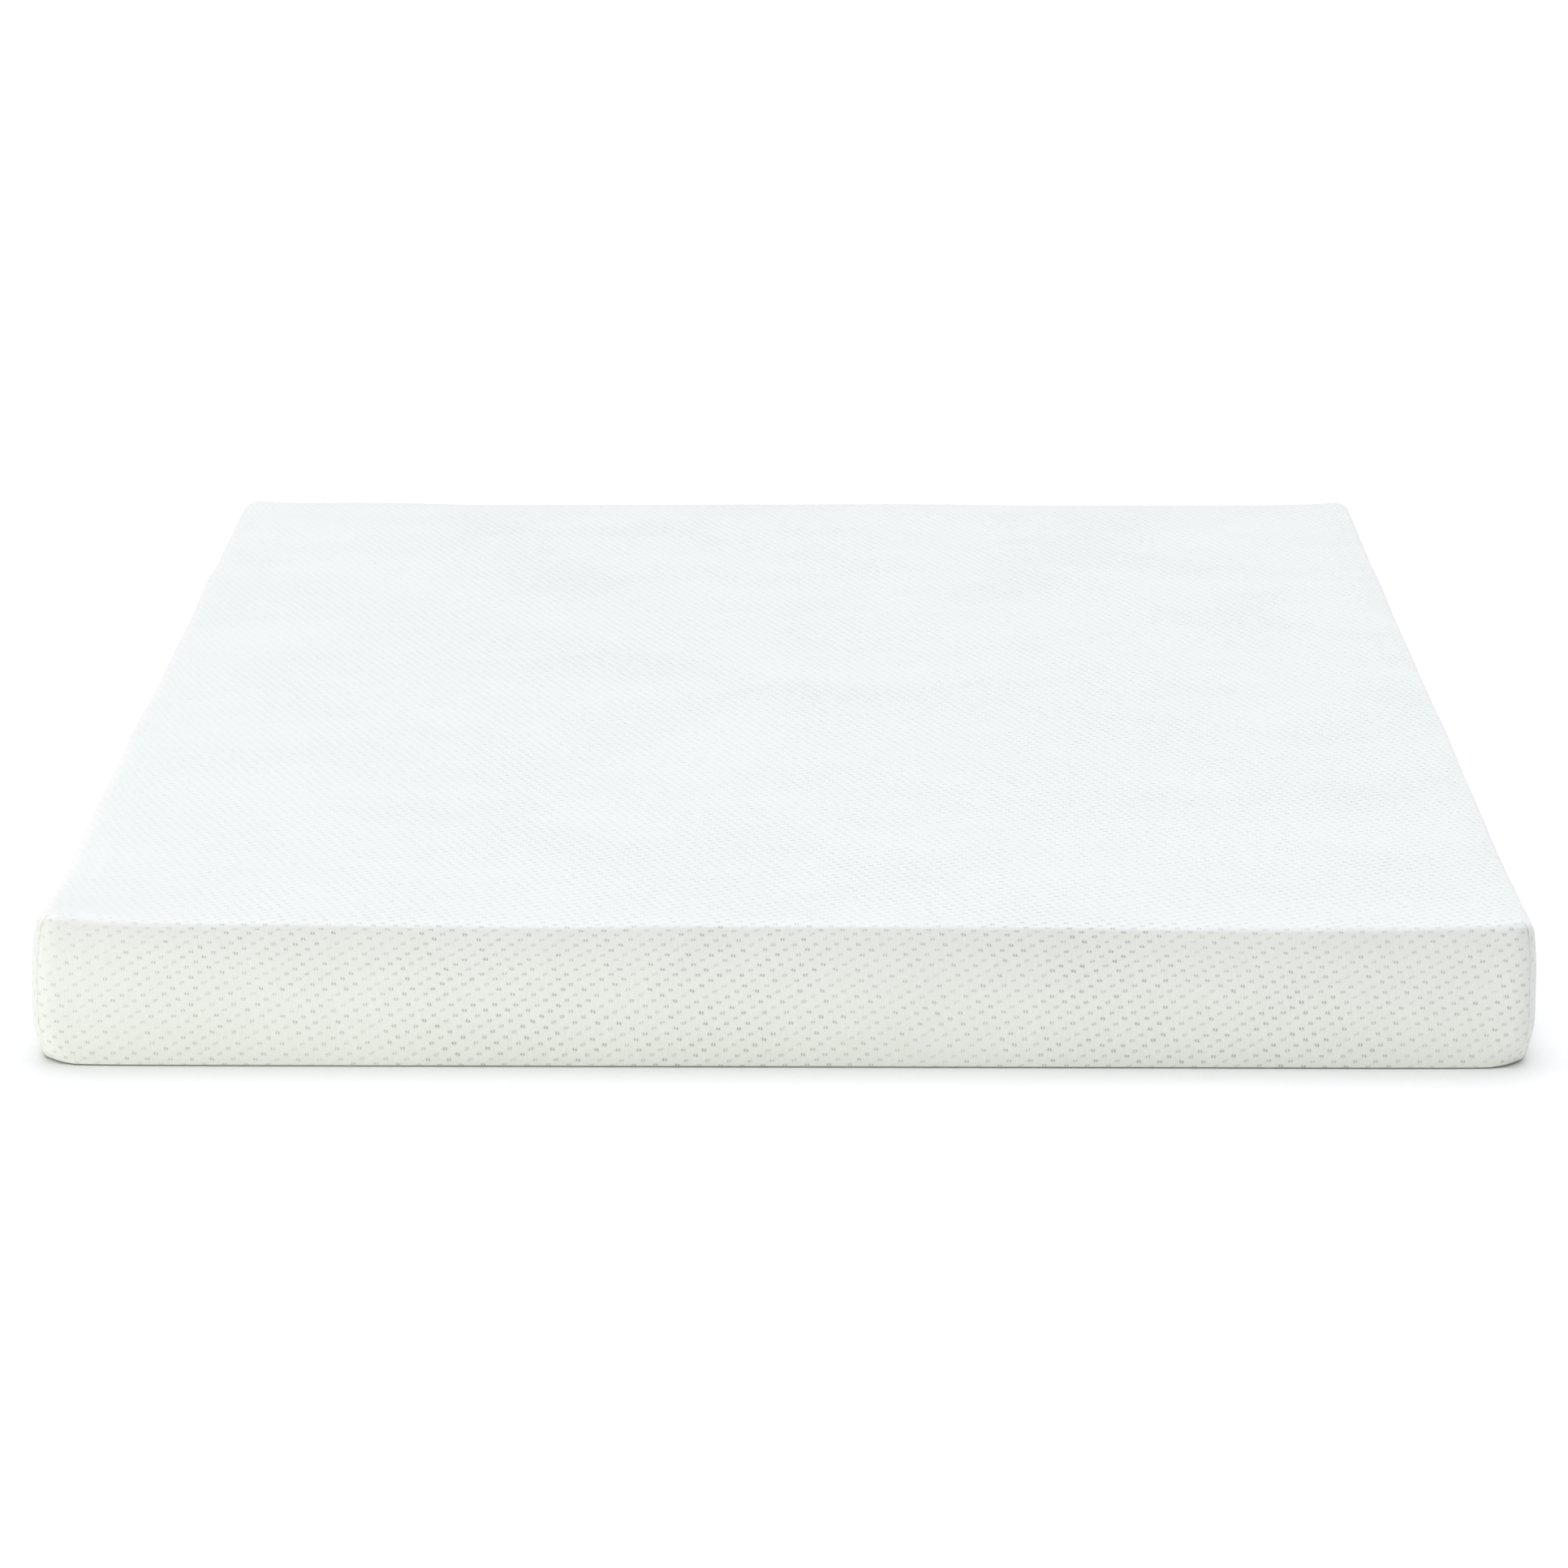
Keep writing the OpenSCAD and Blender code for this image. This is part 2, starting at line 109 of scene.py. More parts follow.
def form(p):
    """The relaxed shape of the covered mattress, as moves of the points of a plain block."""
    p = np.array(p, float)
    x, y, z = p[:, 0].copy(), p[:, 1].copy(), p[:, 2].copy()
    high, low = wall_inset(z)
    sx, sy = np.sign(x), np.sign(y)
    from_x, from_y = HALF_W - abs(x), HALF_L - abs(y)  # how far in from the walls
    skin, fade = 0.004, 0.034  # a wall's moves reach this deep whole, then die away
    near_x = np.exp(-((np.maximum(from_x - skin, 0) / fade) ** 2))
    near_y = np.exp(-((np.maximum(from_y - skin, 0) / fade) ** 2))

    # walls: in towards the top edge, more on the left than on the right
    top_x = np.where(sx < 0, 0.0082, 0.0046)
    top_y = np.where(sy < 0, 0.0006, 0.0022)
    low_y = np.where(sy < 0, 0.0, 0.0008)
    wave_x = 1 + 0.16 * np.sin(7.1 * y + 0.6) + 0.09 * np.sin(17.0 * y + 2.0)
    wave_y = 1 + 0.14 * np.sin(8.3 * x + 1.1) + 0.08 * np.sin(19.0 * x + 0.4)
    under = smooth((0.046 - z) / 0.03)
    end_x = 0.0042 * under * np.exp(-((from_y / 0.085) ** 2))
    end_y = 0.0020 * under * np.exp(-((from_x / 0.075) ** 2))
    p[:, 0] -= sx * near_x * (top_x * high * wave_x + 0.0012 * low + end_x)
    p[:, 1] -= sy * near_y * (top_y * high * wave_y + low_y * low + end_y)
    # the front stands fullest at its foot and folds over crisply at the top, a little
    # proud of the wall under it
    front = 0.0024 * smooth(z / 0.065) + 0.0016 * np.exp(-(((z - 0.1395) / 0.0045) ** 2))
    p[:, 1] += np.where(sy < 0, near_y * front, 0)

    # top: a slack crown, lower along the edges, with a few broad soft folds
    lift = smooth((z - 0.085) / 0.06)
    rim = np.maximum(np.exp(-(from_x / 0.075)), np.exp(-(from_y / 0.075)))
    edge = np.maximum(np.exp(-(from_x / 0.018)), np.exp(-(from_y / 0.018)))
    level = -0.0001 - 0.0016 * rim - 0.0015 * edge
    level -= 0.0016 * rim * smooth((x + 0.2) / 0.9) * smooth((0.2 - y) / 1.0)
    level += 0.0009 * rim * np.sin(9.0 * x + 0.8) * np.sin(6.0 * y + 1.2)
    fold = (x - 0.45) * 0.86 + (y + 0.55) * 0.5
    level -= 0.0009 * np.exp(-((fold / 0.045) ** 2)) * smooth((0.5 + y) / 1.1)
    level += 0.0007 * np.exp(-(((fold + 0.11) / 0.06) ** 2)) * smooth((0.6 + y) / 1.1)
    level += 0.0005 * np.sin(13 * x - 7 * y + 0.5) * np.sin(5 * x + 11 * y + 2.1)
    # the sewn corners stand up a little, most of all the front left one
    for cx, cy, up in ((-1, -1, 0.0062), (1, -1, 0.0022), (-1, 1, 0.003), (1, 1, 0.003)):
        d = np.hypot(x - cx * HALF_W, y - cy * HALF_L)
        level += up * np.exp(-((d / 0.065) ** 1.6))
    p[:, 2] += level * lift

    # bottom corners: drawn in, the plan's corner opening out towards the floor
    radius = PLAN_R + OPEN_R * np.clip(1 - z / OPEN_H, 0, 1) ** 2
    gap = radius - PLAN_R
    u, v = radius - from_x, radius - from_y
    inside = (u > 0) & (v > 0) & (gap > 0)
    far = np.where(inside, np.hypot(u, v), 1)
    c, s = np.where(inside, u / far, 1), np.where(inside, v / far, 0)
    wall = radius / np.maximum(c, s)
    arc = gap * (c + s) + np.sqrt(np.maximum(gap**2 * (2 * c * s - 1) + PLAN_R**2, 0))
    reach = np.where(np.minimum(c, s) * wall <= gap, wall, arc)
    pull = np.where(inside, radius / reach - 1, 0)
    p[:, 0] += sx * u * pull
    p[:, 1] += sy * v * pull
    return p


def arc_rings(inset, z, r, angles, upper):
    """Rings round a level edge: (inset, z) at angles from the wall, in degrees."""
    rows = []
    for a in angles:
        s, c = math.sin(math.radians(a)), math.cos(math.radians(a))
        rows.append((inset + r * (1 - c), z + r * (s - 1) if upper else z + r * (1 - s)))
    return rows


def columns():
    """For each column of the walls: the centre that it stands off from, its normal, its
    side (0 front, 1 right, 2 rear, 3 left) and the fabric's distance along that side."""
    out = []
    sides = [(-90, XS, HALF_L, HALF_W), (0, YS, HALF_W, HALF_L)]
    sides += [(90, XS, HALF_L, HALF_W), (180, YS, HALF_W, HALF_L)]
    for side, (deg, lines, depth, span) in enumerate(sides):
        n = Vector((math.cos(math.radians(deg)), math.sin(math.radians(deg))))
        t = Vector((-n.y, n.x))
        end = span - PLAN_R
        for a in ARC:
            m = Matrix.Rotation(math.radians(-a), 2) @ n
            c = n * (depth - PLAN_R) - t * end
            out.append((c, m, side, -end - PLAN_R * math.radians(a)))
        for s in lines:
            out.append((n * (depth - PLAN_R) + t * s, n, side, s))
        for a in ARC[:0:-1]:
            m = Matrix.Rotation(math.radians(a), 2) @ n
            c = n * (depth - PLAN_R) + t * end
            out.append((c, m, side, end + PLAN_R * math.radians(a)))
    return out


COLUMNS = columns()
N_COL = len(COLUMNS)
NI, NJ = len(XS) - 1 + 2 * K, len(YS) - 1 + 2 * K  # squares of the level grid
CORNERS = (0, NI, NI + NJ, 2 * NI + NJ)  # the columns on the sewn corners


def ring_column(i, j):
    """The column that a point on the rim of the level grid belongs to, or None."""
    if j == 0:
        return i
    if i == NI:
        return NI + j
    if j == NJ:
        return NI + NJ + (NI - i)
    if i == 0:
        return (2 * NI + NJ + (NJ - j)) % N_COL
    return None


def grid_line(k, n, lines):
    """Where line k of n lies, and how far out it is into a corner, from -1 to 1."""
    if k < K:
        return lines[0], -(K - k) / K
    if k > n - K:
        return lines[-1], (k - n + K) / K
    return lines[k - K], 0.0


def level_point(i, j, r):
    """A point of the level grid whose upright corners have radius r."""
    (x, u), (y, v) = grid_line(i, NI, XS), grid_line(j, NJ, YS)
    if not (u and v):
        return x + u * r, y + v * r
    m = max(abs(u), abs(v))
    a = math.pi / 4 * min(abs(u), abs(v)) / m
    if abs(u) < abs(v):
        a = math.pi / 2 - a
    return x + math.copysign(m * r * math.cos(a), u), y + math.copysign(m * r * math.sin(a), v)


def cut_point(side, along, out):
    """Fabric coordinates of a wall's point, along its side and out from the top's edge."""
    if side == 0:
        return along, -(HALF_L * TOP_ROW + out)
    if side == 1:
        return HALF_W + out, along * TOP_ROW
    if side == 2:
        return -along, HALF_L * TOP_ROW + out
    return -(HALF_W + out), -along * TOP_ROW


def shell(rings, top=True, bottom=False, seam=0.0):
    """Verts, faces and fabric coordinates of a covered block: rings of (inset, z) from
    the bottom up, closed above and below with level grids. The upright corners can be
    drawn in by seam along their sewn line."""
    verts, faces, coords = [], [], []
    run = [0.0]
    for a, b in zip(rings, rings[1:]):
        run.append(run[-1] + math.hypot(b[0] - a[0], b[1] - a[1]))
    down = [run[-1] - s - rings[-1][0] for s in run]  # outwards from the nominal edge line
    for inset, z in rings:
        for c, n, _, _ in COLUMNS:
            p = c + n * (PLAN_R - inset)
            verts.append((p.x, p.y, z))

    for r in range(len(rings) - 1):
        for c in range(N_COL):
            d = (c + 1) % N_COL
            low, up = r * N_COL, (r + 1) * N_COL
            faces.append((low + c, low + d, up + d, up + c))
            _, _, side, s0 = COLUMNS[c]
            _, _, next_side, s1 = COLUMNS[d]
            if next_side != side:  # this face ends at a sewn corner
                s1 = (HALF_W if side in (0, 2) else HALF_L) - PLAN_R + PLAN_R * math.pi / 4
            coords += [cut_point(side, s, down[r]) for s in (s0, s1)]
            coords += [cut_point(side, s, down[r + 1]) for s in (s1, s0)]

    index = {}

    def close(ring, up):
        inset, z = rings[ring]
        for j in range(NJ + 1):
            for i in range(NI + 1):
                c = ring_column(i, j)
                if c is None:
                    index[i, j] = len(verts)
                    x, y = level_point(i, j, PLAN_R - inset)
                    verts.append((x, y, z))
                else:
                    index[i, j] = ring * N_COL + c
        for j in range(NJ):
            for i in range(NI):
                quad = [index[i, j], index[i + 1, j], index[i + 1, j + 1], index[i, j + 1]]
                if not up:
                    quad.reverse()
                faces.append(tuple(quad))
                for k in quad:
                    coords.append((verts[k][0], verts[k][1] * TOP_ROW))

    if top:
        close(len(rings) - 1, True)
    if bottom:
        close(0, False)
    pts = form(verts)
    if seam:
        for c in CORNERS:
            n = np.array([*COLUMNS[c][1], 0])
            pts[c : len(rings) * N_COL : N_COL] -= seam * n
        for i, j in ((1, 1), (NI - 1, 1), (1, NJ - 1), (NI - 1, NJ - 1)):
            pts[index[i, j], 2] -= 0.7 * seam
    return pts, faces, coords


def mesh_object(name, verts, faces, coords=None, material=None):
    me = bpy.data.meshes.new(name)
    me.from_pydata([tuple(v) for v in verts], [], faces)
    if coords is not None:
        me.uv_layers.new(name="cut").data.foreach_set("uv", np.array(coords).ravel())
    me.polygons.foreach_set("use_smooth", [True] * len(me.polygons))
    ob = bpy.data.objects.new(name, me)
    scene.collection.objects.link(ob)
    if material:
        me.materials.append(material)
    return ob


def apply_modifiers(ob):
    dg = bpy.context.evaluated_depsgraph_get()
    me = bpy.data.meshes.new_from_object(ob.evaluated_get(dg), depsgraph=dg)
    ob.modifiers.clear()
    old = ob.data
    ob.data = me
    me.name = old.name
    bpy.data.meshes.remove(old)


def keep_cut(ob):
    """Keeps the fabric coordinates as a plain attribute, which the knits read."""
    me = ob.data
    cut = np.zeros(2 * len(me.loops))
    me.uv_layers["cut"].data.foreach_get("uv", cut)
    me.uv_layers.remove(me.uv_layers["cut"])
    flat = np.zeros((len(me.loops), 3))
    flat[:, :2] = cut.reshape(-1, 2)
    kept = me.attributes.new("fabric", "FLOAT_VECTOR", "CORNER")
    kept.data.foreach_set("vector", flat.ravel())


def refine(ob, thickness):
    """Makes a fabric of a cut face: subdivided once, and thickened inwards."""
    m = ob.modifiers.new("refine", "SUBSURF")
    m.levels = m.render_levels = 1
    m.boundary_smooth = "PRESERVE_CORNERS"
    m.uv_smooth = "PRESERVE_BOUNDARIES"
    s = ob.modifiers.new("thickness", "SOLIDIFY")
    s.thickness = thickness
    s.offset = -1
    apply_modifiers(ob)
    keep_cut(ob)


def bvh_of(ob):
    bm = bmesh.new()
    bm.from_mesh(ob.data)
    tree = BVHTree.FromBMesh(bm)
    bm.free()
    return tree


# ---------------------------------------------------------------- materials
class Graph:
    """A material's node tree, with short calls for the nodes it is made of."""

    def __init__(self, name, **uniform):
        self.mat = bpy.data.materials.new(name)
        self.mat.use_nodes = True
        self.tree = self.mat.node_tree
        self.tree.nodes.clear()
        self.bsdf = self.node("ShaderNodeBsdfPrincipled")
        out = self.node("ShaderNodeOutputMaterial")
        self.tree.links.new(self.bsdf.outputs[0], out.inputs[0])
        for key, value in uniform.items():
            self.bsdf.inputs[key.replace("_", " ")].default_value = value

    def node(self, kind, **props):
        n = self.tree.nodes.new(kind)
        for key, value in props.items():
            setattr(n, key, value)
        return n

    def put(self, value, socket):
        if isinstance(value, bpy.types.NodeSocket):
            self.tree.links.new(value, socket)
        else:
            socket.default_value = value

    def math(self, op, *args, clamp=False):
        n = self.node("ShaderNodeMath", operation=op, use_clamp=clamp)
        for i, a in enumerate(args):
            self.put(a, n.inputs[i])
        return n.outputs[0]

    def fit(self, value, a, b, c=0.0, d=1.0, kind="SMOOTHSTEP"):
        """Maps the range a to b onto c to d, easing in and out."""
        n = self.node("ShaderNodeMapRange", interpolation_type=kind)
        for i, a in enumerate((value, a, b, c, d)):
            self.put(a, n.inputs[i])
        return n.outputs[0]

    def add(self, a, b, clamp=False):
        return self.math("ADD", a, b, clamp=clamp)

    def times(self, a, b):
        return self.math("MULTIPLY", a, b)

    def squared(self, value, half):
        """How far off the middle of a spot whose half size is half, squared."""
        return self.math("POWER", self.math("ABSOLUTE", self.math("DIVIDE", value, half)), 2.0)

    def line(self, value, a, b, c, d):
        """The same in a straight line."""
        return self.fit(value, a, b, c, d, "LINEAR")

    def split(self, vector):
        n = self.node("ShaderNodeSeparateXYZ")
        self.put(vector, n.inputs[0])
        return n.outputs

    def attribute(self, name):
        return self.node("ShaderNodeAttribute", attribute_name=name).outputs["Vector"]

    def place(self):
        return self.node("ShaderNodeTexCoord").outputs["Object"]

    def scale(self, vector, x, y=None, z=None):
        n = self.node("ShaderNodeVectorMath", operation="MULTIPLY")
        self.put(vector, n.inputs[0])
        n.inputs[1].default_value = (x, x if y is None else y, x if z is None else z)
        return n.outputs[0]

    def noise(self, vector, scale=1.0, detail=2.0, rough=0.5):
        n = self.node("ShaderNodeTexNoise")
        self.put(vector, n.inputs["Vector"])
        n.inputs["Scale"].default_value = scale
        n.inputs["Detail"].default_value = detail
        n.inputs["Roughness"].default_value = rough
        return n.outputs["Fac"]

    def cells(self, vector, scale, feature="F1"):
        n = self.node("ShaderNodeTexVoronoi", feature=feature)
        self.put(vector, n.inputs["Vector"])
        n.inputs["Scale"].default_value = scale
        return n.outputs["Distance"]

    def random(self, x, y):
        at = self.node("ShaderNodeCombineXYZ")
        n = self.node("ShaderNodeTexWhiteNoise", noise_dimensions="2D")
        self.put(x, at.inputs[0])
        self.put(y, at.inputs[1])
        self.put(at.outputs[0], n.inputs["Vector"])
        return n.outputs["Value"]

    def mix(self, fac, a, b):
        n = self.node("ShaderNodeMix", data_type="RGBA")
        for value, socket in ((fac, n.inputs[0]), (a, n.inputs[6]), (b, n.inputs[7])):
            self.put((*value, 1) if isinstance(value, tuple) else value, socket)
        return n.outputs[2]

    def bump(self, height, distance):
        n = self.node("ShaderNodeBump")
        n.inputs["Strength"].default_value = 1.0
        n.inputs["Distance"].default_value = distance
        self.put(height, n.inputs["Height"])
        return n.outputs[0]

    def finish(self, colour, roughness, normal):
        self.put(colour, self.bsdf.inputs["Base Color"])
        self.put(roughness, self.bsdf.inputs["Roughness"])
        self.put(normal, self.bsdf.inputs["Normal"])
        return self.mat


def dimpled_knit(name, ground, shade):
    """White stretch knit: fine wales, and pairs of short pits on a slanted lattice.
    Lengths are in millimetres, but for the bump's depth."""
    pitch, row_h, slant = 21.8, 5.65, 8.92
    pair, pit_w, pit_h = 1.3, 0.72, 1.75
    hollow_w, hollow_h, wale, depth = 4.4, 2.3, 1.25, 0.0007
    top_x, top_y = 752.0, 1185.0  # where the top gives way to the walls, on the fabric
    g = Graph(name, Sheen_Weight=0.25, Sheen_Roughness=0.55, Specular_IOR_Level=0.25)
    fabric = g.scale(g.attribute("fabric"), 1000)
    cut_x, cut_y, _ = g.split(fabric)
    x = g.add(cut_x, g.line(g.noise(fabric, 0.012, 1.5), 0.3, 0.7, -1.3, 1.3))
    y = g.add(cut_y, g.line(g.noise(fabric, 0.009, 1.5), 0.3, 0.7, -1.5, 1.5))

    # the lattice, and each pair's place in its cell, a little out of line by chance
    row = g.math("FLOOR", g.math("DIVIDE", y, row_h))
    dy = g.math("SUBTRACT", y, g.times(g.add(row, 0.5), row_h))
    along = g.math("DIVIDE", g.math("SUBTRACT", x, g.times(row, slant)), pitch)
    col = g.math("FLOOR", along)
    dx = g.times(g.math("SUBTRACT", g.math("SUBTRACT", along, col), 0.5), pitch)
    chance = g.random(row, col)
    other = g.random(col, row)
    dx = g.add(dx, g.times(g.math("SUBTRACT", other, 0.5), 1.1))
    dx = g.add(dx, g.line(g.noise(fabric, 1.1, 2.0, 0.6), 0.25, 0.75, -0.42, 0.42))
    dy = g.add(dy, g.line(g.noise(fabric, 0.9, 1.0), 0.25, 0.75, -0.5, 0.5))
    dy = g.add(dy, g.times(dx, g.line(chance, 0.0, 1.0, -0.28, 0.16)))
    away = g.math("SUBTRACT", g.math("ABSOLUTE", dx), pair)
    # the pits are painted darker than the cloth: painted shade in them
    pit = g.fit(g.add(g.squared(away, pit_w), g.squared(dy, pit_h)), 1.3, 0.1)
    pit = g.times(pit, g.line(chance, 0.0, 1.0, 0.3, 1.0))
    # the cloth is drawn down softly round each pair, and painted darker there as shade
    hollow = g.fit(g.add(g.squared(dx, hollow_w), g.squared(dy, hollow_h)), 1.0, 0.0)
    hollow = g.times(hollow, g.line(other, 0.0, 1.0, 0.5, 1.0))

    wales = g.fit(g.math("SINE", g.times(x, 2 * math.pi / wale)), -1.0, 1.0)
    streaks = g.noise(g.scale(fabric, 0.9, 0.05), 1.0, 2.0, 0.6)
    loops = g.noise(g.scale(fabric, 1.1, 0.75), 1.0, 2.0, 0.65)
    broad = g.noise(fabric, 0.006, 2.0)
    # the pits are flatter and their painted shade lighter in some places, and more so towards the
    # left, where the fill light falls, and on the top, under the overhead light
    flatter_and_lit = g.fit(g.noise(fabric, 0.004, 2.0), 0.38, 0.62, 0.72, 1.05)
    flatter_and_lit = g.times(flatter_and_lit, g.fit(x, -760.0, -250.0, 0.62, 1.0))
    past_y = g.fit(g.math("ABSOLUTE", cut_y), top_y, top_y + 15)
    past_x = g.fit(g.math("ABSOLUTE", cut_x), top_x, top_x + 13)
    flatter_and_lit = g.times(flatter_and_lit, g.fit(g.math("MAXIMUM", past_y, past_x), 0.0, 1.0, 0.69, 1.0))

    # tone: painted shade in the pits and the hollows round them, with the knit's own streaks, loops,
    # wales and broad tone
    tone = g.add(g.times(pit, 0.98), g.times(hollow, 0.15))
    tone = g.add(tone, g.fit(streaks, 0.3, 0.75, 0.0, 0.12))
    tone = g.add(tone, g.fit(loops, 0.3, 0.8, 0.0, 0.08))
    # the pits' painted shade is made lighter where the light falls strongest
    tone = g.times(tone, flatter_and_lit)
    tone = g.add(tone, g.fit(broad, 0.35, 0.65, 0.0, 0.04))
    tone = g.add(tone, g.times(wales, 0.025), clamp=True)
    height = g.times(g.add(g.times(pit, -0.8), g.times(hollow, -0.5)), flatter_and_lit)
    height = g.add(height, g.times(wales, 0.07))
    height = g.add(height, g.times(loops, 0.14))
    rough = g.fit(loops, 0.2, 0.8, 0.82, 0.96)
    return g.finish(g.mix(tone, ground, shade), rough, g.bump(height, depth))


def jersey(name, ground, shade, gauge, depth):
    """Plain knit: rows of small V loops on the fabric coordinates, gauge loops per mm."""
    g = Graph(name, Sheen_Weight=0.3, Sheen_Roughness=0.5, Specular_IOR_Level=0.25)
    fabric = g.scale(g.attribute("fabric"), 1000 * gauge)
    x, y, _ = g.split(fabric)
    lean = g.math("PINGPONG", x, 0.5)
    v = g.math("SINE", g.times(g.add(y, lean), 2 * math.pi))
    wale = g.math("SINE", g.times(x, 2 * math.pi))
    loop = g.add(g.times(v, 0.5), g.times(wale, 0.5))
    loop = g.fit(loop, -1.0, 1.0)
    fuzz = g.noise(fabric, 1.6, 3.0, 0.6)
    broad = g.noise(fabric, 0.01, 2.0)
    tone = g.add(g.times(loop, -0.35), g.times(fuzz, 0.35))
    tone = g.add(tone, g.fit(broad, 0.3, 0.7, 0.25, 0.45), clamp=True)
    height = g.add(loop, g.times(fuzz, 0.4))
    rough = g.fit(fuzz, 0.2, 0.8, 0.8, 0.97)
    return g.finish(g.mix(tone, ground, shade), rough, g.bump(height, depth))


def woven(name, ground, shade, pitch, depth, sheen=0.2, twill=0.0, gloss=0.75):
    """Woven cloth on object coordinates: threads at pitch millimetres, over and under."""
    g = Graph(name, Sheen_Weight=sheen, Specular_IOR_Level=0.35)
    x, y, z = g.split(g.scale(g.place(), 1000 * math.pi / pitch))
    warp = g.math("SINE", g.add(x, g.times(z, twill)))
    weft = g.math("SINE", z)
    over = g.times(warp, weft)
    fibre = g.noise(g.scale(g.place(), 3500, 3500, 900), 1.0, 3.0, 0.6)
    broad = g.noise(g.place(), 22, 2.0)
    lift = g.fit(over, -1.0, 1.0)
    tone = g.add(g.times(lift, -0.4), g.times(fibre, 0.35))
    tone = g.add(tone, g.fit(broad, 0.3, 0.7, 0.25, 0.5), clamp=True)
    rough = g.fit(fibre, 0.2, 0.8, gloss - 0.08, gloss + 0.08)
    height = g.add(lift, g.times(fibre, 0.35))
    return g.finish(g.mix(tone, ground, shade), rough, g.bump(height, depth))


def foam(name, ground, shade, cell, depth):
    """Cut open-cell foam: cells of two sizes, in object coordinates."""
    g = Graph(name, Specular_IOR_Level=0.3, Subsurface_Weight=0.05)
    place = g.scale(g.place(), 1000 / cell)
    big = g.cells(place, 1.0)
    small = g.cells(place, 2.7)
    cloud = g.noise(g.place(), 9, 3.0)
    pore = g.add(g.times(big, 0.6), g.times(small, 0.4))
    tone = g.fit(pore, 0.55, 0.1)
    tone = g.times(tone, 0.6)
    tone = g.add(tone, g.fit(cloud, 0.3, 0.7, 0.0, 0.3), clamp=True)
    rough = g.fit(big, 0.0, 0.6, 0.86, 0.98)
    return g.finish(g.mix(tone, ground, shade), rough, g.bump(pore, depth))


def thread(name, ground, shade):
    """Spun sewing thread: fine slanted plies with a soft lustre."""
    ply = 0.55  # millimetres
    g = Graph(name, Sheen_Weight=0.3, Specular_IOR_Level=0.4)
    x, y, z = g.split(g.scale(g.place(), 2000 * math.pi / ply))
    turn = g.math("SINE", g.add(g.add(x, y), g.times(z, 0.8)))
    fuzz = g.noise(g.scale(g.place(), 4000), 1.0, 2.0)
    tone = g.fit(turn, -1.0, 1.0, 0.5, 0.0)
    tone = g.add(tone, g.times(fuzz, 0.4), clamp=True)
    rough = g.fit(fuzz, 0.2, 0.8, 0.5, 0.75)
    return g.finish(g.mix(tone, ground, shade), rough, g.bump(turn, 0.00008))


def nylon(name, ground, shade):
    """Drawn monofilament: smooth, slightly milky, with faint draw lines."""
    g = Graph(name, Specular_IOR_Level=0.5, Coat_Weight=0.15, Subsurface_Weight=0.08)
    lines = g.noise(g.scale(g.place(), 300, 5000, 5000), 1.0, 2.0)
    cloud = g.noise(g.place(), 60, 2.0)
    tone = g.times(g.add(lines, cloud), 0.45)
    rough = g.fit(lines, 0.2, 0.8, 0.26, 0.42)
    return g.finish(g.mix(tone, ground, shade), rough, g.bump(lines, 0.00003))


def metal(name, ground, shade):
    """Die-cast, plated and tumbled: small scratches, duller where handled."""
    g = Graph(name, Metallic=1.0)
    scratch = g.noise(g.scale(g.place(), 400, 2500, 6000), 1.0, 3.0, 0.65)
    cloud = g.noise(g.place(), 320, 3.0)
    dull = g.fit(cloud, 0.4, 0.7, 0.0, 0.12)
    rough = g.add(g.fit(scratch, 0.3, 0.8, 0.2, 0.34), dull)
    tone = g.fit(cloud, 0.3, 0.75, 0.0, 0.8)
    return g.finish(g.mix(tone, ground, shade), rough, g.bump(scratch, 0.00002))


def glue(name, ground, shade):
    """Sprayed hot-melt film: a glossy web of fine strands."""
    g = Graph(name, Specular_IOR_Level=0.5, Coat_Weight=0.2)
    web = g.cells(g.place(), 180, "DISTANCE_TO_EDGE")
    cloud = g.noise(g.place(), 40, 3.0)
    tone = g.fit(web, 0.0, 0.18, 0.0, 0.6)
    tone = g.add(tone, g.times(cloud, 0.35), clamp=True)
    rough = g.fit(cloud, 0.3, 0.7, 0.22, 0.45)
    return g.finish(g.mix(tone, ground, shade), rough, g.bump(web, 0.0003))


# ---------------------------------------------------------------- piece making
def piece(ob, slot, *nodes, body="mattress"):
    if nodes:
        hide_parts(*nodes)
    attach(ob, body)
    return ob


def paint(mat, *nodes):
    """Gives CAD nodes that stay visible their material."""
    for node in nodes:
        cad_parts[node].data.materials.clear()
        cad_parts[node].data.materials.append(mat)


def subset(verts, faces, coords, keep):
    """The kept faces with their own points."""
    used, out, kept = {}, [], []
    for i, f in enumerate(faces):
        if keep(i):
            out.append(tuple(used.setdefault(k, len(used)) for k in f))
            kept += coords[4 * i : 4 * i + 4]
    order = sorted(used, key=used.get)
    return [verts[k] for k in order], out, kept


def turn_in(ob, pick, moves):
    """Turns the picked free edge of a fabric in, through each move in turn."""
    bm = bmesh.new()
    bm.from_mesh(ob.data)
    edges = [e for e in bm.edges if e.is_boundary and all(pick(v.co) for v in e.verts)]
    for move in moves:
        made = bmesh.ops.extrude_edge_only(bm, edges=edges)["geom"]
        new = {v for v in made if isinstance(v, bmesh.types.BMVert)}
        for v in new:
            v.co += Vector(move)
        made = [e for e in made if isinstance(e, bmesh.types.BMEdge)]
        edges = [e for e in made if new.issuperset(e.verts)]
    for f in bm.faces:
        f.smooth = True
    bm.to_mesh(ob.data)
    bm.free()


